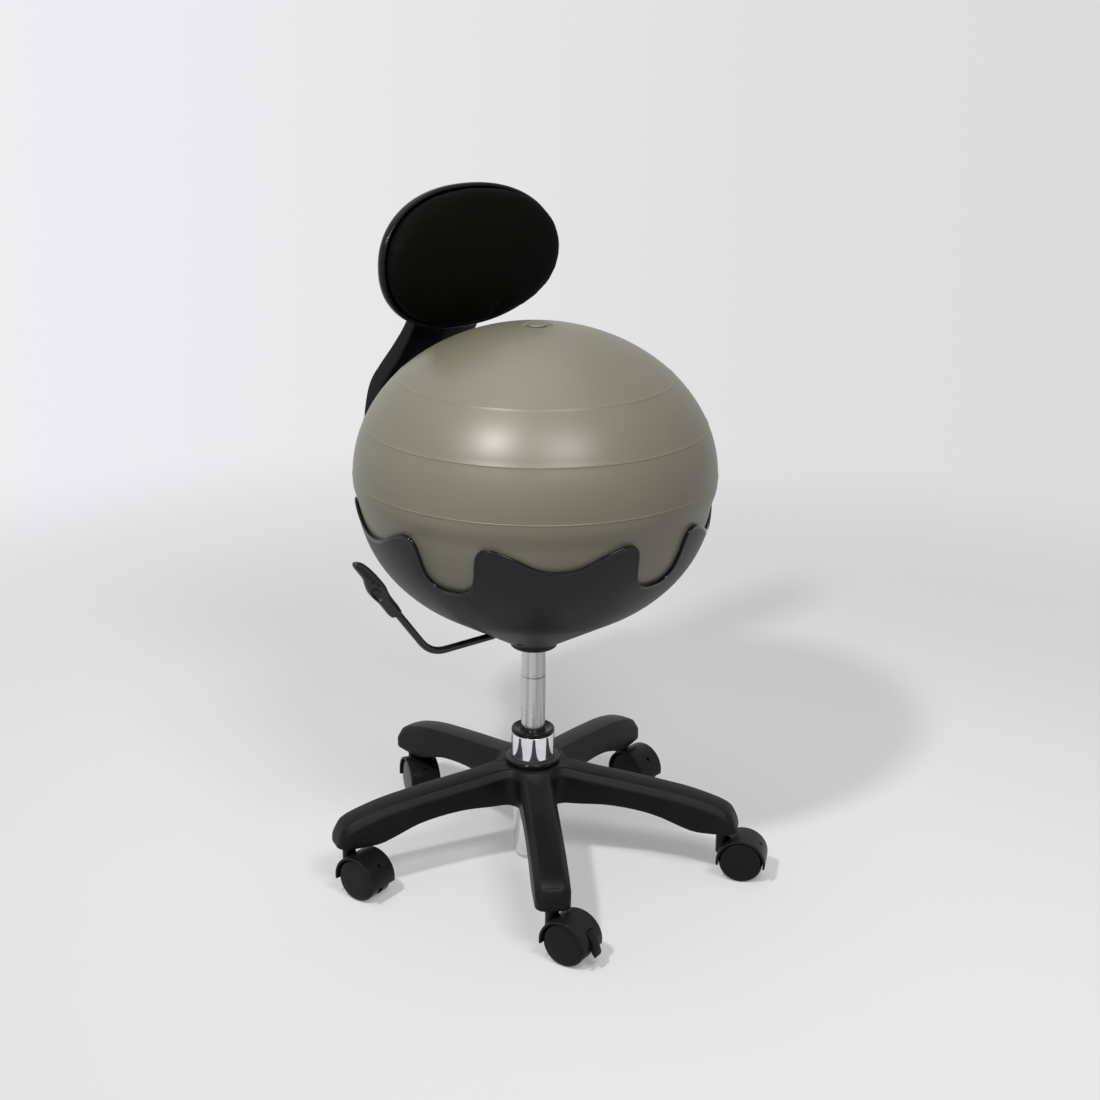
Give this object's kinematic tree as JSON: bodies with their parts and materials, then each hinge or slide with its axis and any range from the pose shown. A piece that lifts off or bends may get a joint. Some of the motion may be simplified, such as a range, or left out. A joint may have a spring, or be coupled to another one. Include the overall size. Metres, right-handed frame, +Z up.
{
  "type": "balance ball chair",
  "caption": "Balance ball chair: a soft ball held in a scalloped bowl on a gas lift, with a caster base, a padded backrest on a curved beam and a height lever.",
  "frame": {"origin": "middle of the bounding box's bottom face, on the floor", "axes": "+Z up, the sitter faces -Y, the sitter's right hand and the height lever are on -X"},
  "size_m": [0.4946, 0.4836, 0.7755],
  "materials": {
    "black_nylon": "satin",
    "gloss_black": "gloss",
    "bowl_plastic": "satin",
    "chrome": "polished",
    "steel": "zinc plated",
    "ball_vinyl": "satin",
    "pad_fabric": "woven",
    "black_rubber": "matte"
  },
  "bodies": {
    "base": {"star_base": "black_nylon", "hub_ring": "gloss_black", "outer_tube": "chrome", "guide_bush": "black_nylon", "thrust_bearing": "steel", "caster_stem_1": "steel", "caster_stem_2": "steel", "caster_stem_3": "steel", "caster_stem_4": "steel", "caster_stem_5": "steel"},
    "lift_rod": {"piston_rod": "steel", "rod_clip": "steel", "bumper": "black_rubber"},
    "seat": {"gas_cylinder": "chrome", "rod_guide": "black_nylon", "mechanism_plate": "steel", "lever_pivot_pin": "steel", "bowl": "bowl_plastic", "ball": "ball_vinyl", "valve_plug": "ball_vinyl", "back_support": "black_nylon", "backrest_shell": "gloss_black", "backrest_pad": "pad_fabric", "plate_screw_1": "steel", "plate_screw_2": "steel", "plate_screw_3": "steel", "plate_screw_4": "steel", "support_screw_1": "steel", "support_screw_2": "steel", "support_screw_3": "steel", "shell_screw_1": "steel", "shell_screw_2": "steel", "shell_screw_3": "steel", "shell_screw_4": "steel"},
    "lever": {"lever_rod": "black_nylon", "lever_grip": "black_nylon"},
    "release_pin": {"release_pin": "steel"},
    "caster_1": {"caster_hood_1": "black_nylon", "caster_axle_1": "steel"},
    "wheel_left_1": {"wheel_left_1": "gloss_black"},
    "wheel_right_1": {"wheel_right_1": "gloss_black"},
    "caster_2": {"caster_hood_2": "black_nylon", "caster_axle_2": "steel"},
    "wheel_left_2": {"wheel_left_2": "gloss_black"},
    "wheel_right_2": {"wheel_right_2": "gloss_black"},
    "caster_3": {"caster_hood_3": "black_nylon", "caster_axle_3": "steel"},
    "wheel_left_3": {"wheel_left_3": "gloss_black"},
    "wheel_right_3": {"wheel_right_3": "gloss_black"},
    "caster_4": {"caster_hood_4": "black_nylon", "caster_axle_4": "steel"},
    "wheel_left_4": {"wheel_left_4": "gloss_black"},
    "wheel_right_4": {"wheel_right_4": "gloss_black"},
    "caster_5": {"caster_hood_5": "black_nylon", "caster_axle_5": "steel"},
    "wheel_left_5": {"wheel_left_5": "gloss_black"},
    "wheel_right_5": {"wheel_right_5": "gloss_black"},
    "brake_pedal": {"brake_pedal": "black_nylon"}
  },
  "joints": [
    {"name": "seat_swivel", "type": "hinge", "parent": "base", "child": "lift_rod", "pos_m": [0.00869, -0.00134, 0.0163], "axis": [0, 0, 1], "continuous": true},
    {"name": "seat_height", "type": "slide", "parent": "lift_rod", "child": "seat", "axis": [0, 0, 1], "range_m": [-0.06, 0], "stiffness_N_per_m": 500, "springref_m": 0.6},
    {"name": "lever_lift", "type": "hinge", "parent": "seat", "child": "lever", "pos_m": [-0.03531, -0.00134, 0.3039], "axis": [0, 1, 0], "range_deg": [0, 5], "stiffness_Nm_per_rad": 2, "springref_deg": -5.73},
    {"name": "release_press", "type": "slide", "parent": "seat", "child": "release_pin", "axis": [0, 0, -1], "range_m": [0, 0.004]},
    {"name": "caster_swivel_1", "type": "hinge", "parent": "base", "child": "caster_1", "pos_m": [-0.13023, -0.1796, 0.055], "axis": [0, 0, 1], "continuous": true},
    {"name": "caster_swivel_2", "type": "hinge", "parent": "base", "child": "caster_2", "pos_m": [0.1353, -0.18855, 0.055], "axis": [0, 0, 1], "continuous": true},
    {"name": "caster_swivel_3", "type": "hinge", "parent": "base", "child": "caster_3", "pos_m": [0.22586, 0.06122, 0.055], "axis": [0, 0, 1], "continuous": true},
    {"name": "caster_swivel_4", "type": "hinge", "parent": "base", "child": "caster_4", "pos_m": [0.01631, 0.22453, 0.055], "axis": [0, 0, 1], "continuous": true},
    {"name": "caster_swivel_5", "type": "hinge", "parent": "base", "child": "caster_5", "pos_m": [-0.20377, 0.07569, 0.055], "axis": [0, 0, 1], "continuous": true},
    {"name": "wheel_left_spin_1", "type": "hinge", "parent": "caster_1", "child": "wheel_left_1", "pos_m": [-0.12459, -0.20221, 0.025], "axis": [0.9703, 0.2419, 0], "continuous": true},
    {"name": "wheel_right_spin_1", "type": "hinge", "parent": "caster_1", "child": "wheel_right_1", "pos_m": [-0.12459, -0.20221, 0.025], "axis": [0.9703, 0.2419, 0], "continuous": true},
    {"name": "wheel_left_spin_2", "type": "hinge", "parent": "caster_2", "child": "wheel_left_2", "pos_m": [0.1485, -0.20775, 0.025], "axis": [0.8241, 0.5664, 0], "continuous": true},
    {"name": "wheel_right_spin_2", "type": "hinge", "parent": "caster_2", "child": "wheel_right_2", "pos_m": [0.1485, -0.20775, 0.025], "axis": [0.8241, 0.5664, 0], "continuous": true},
    {"name": "wheel_left_spin_3", "type": "hinge", "parent": "caster_3", "child": "wheel_left_3", "pos_m": [0.22708, 0.03795, 0.025], "axis": [0.9986, 0.0523, 0], "continuous": true},
    {"name": "wheel_right_spin_3", "type": "hinge", "parent": "caster_3", "child": "wheel_right_3", "pos_m": [0.22708, 0.03795, 0.025], "axis": [0.9986, 0.0523, 0], "continuous": true},
    {"name": "wheel_left_spin_4", "type": "hinge", "parent": "caster_4", "child": "wheel_left_4", "pos_m": [0.00724, 0.20307, 0.025], "axis": [0.9212, -0.3891, 0], "continuous": true},
    {"name": "wheel_right_spin_4", "type": "hinge", "parent": "caster_4", "child": "wheel_right_4", "pos_m": [0.00724, 0.20307, 0.025], "axis": [0.9212, -0.3891, 0], "continuous": true},
    {"name": "wheel_left_spin_5", "type": "hinge", "parent": "caster_5", "child": "wheel_left_5", "pos_m": [-0.19972, 0.05275, 0.025], "axis": [0.9848, 0.1736, 0], "continuous": true},
    {"name": "wheel_right_spin_5", "type": "hinge", "parent": "caster_5", "child": "wheel_right_5", "pos_m": [-0.19972, 0.05275, 0.025], "axis": [0.9848, 0.1736, 0], "continuous": true},
    {"name": "brake_press", "type": "hinge", "parent": "caster_1", "child": "brake_pedal", "pos_m": [-0.11928, -0.22352, 0.04096], "axis": [0.9703, 0.2419, 0], "range_deg": [0, 8]}
  ],
  "couplings": [
    {"joint": "release_press", "follows": "lever_lift", "m_per_rad": 0.0438}
  ]
}
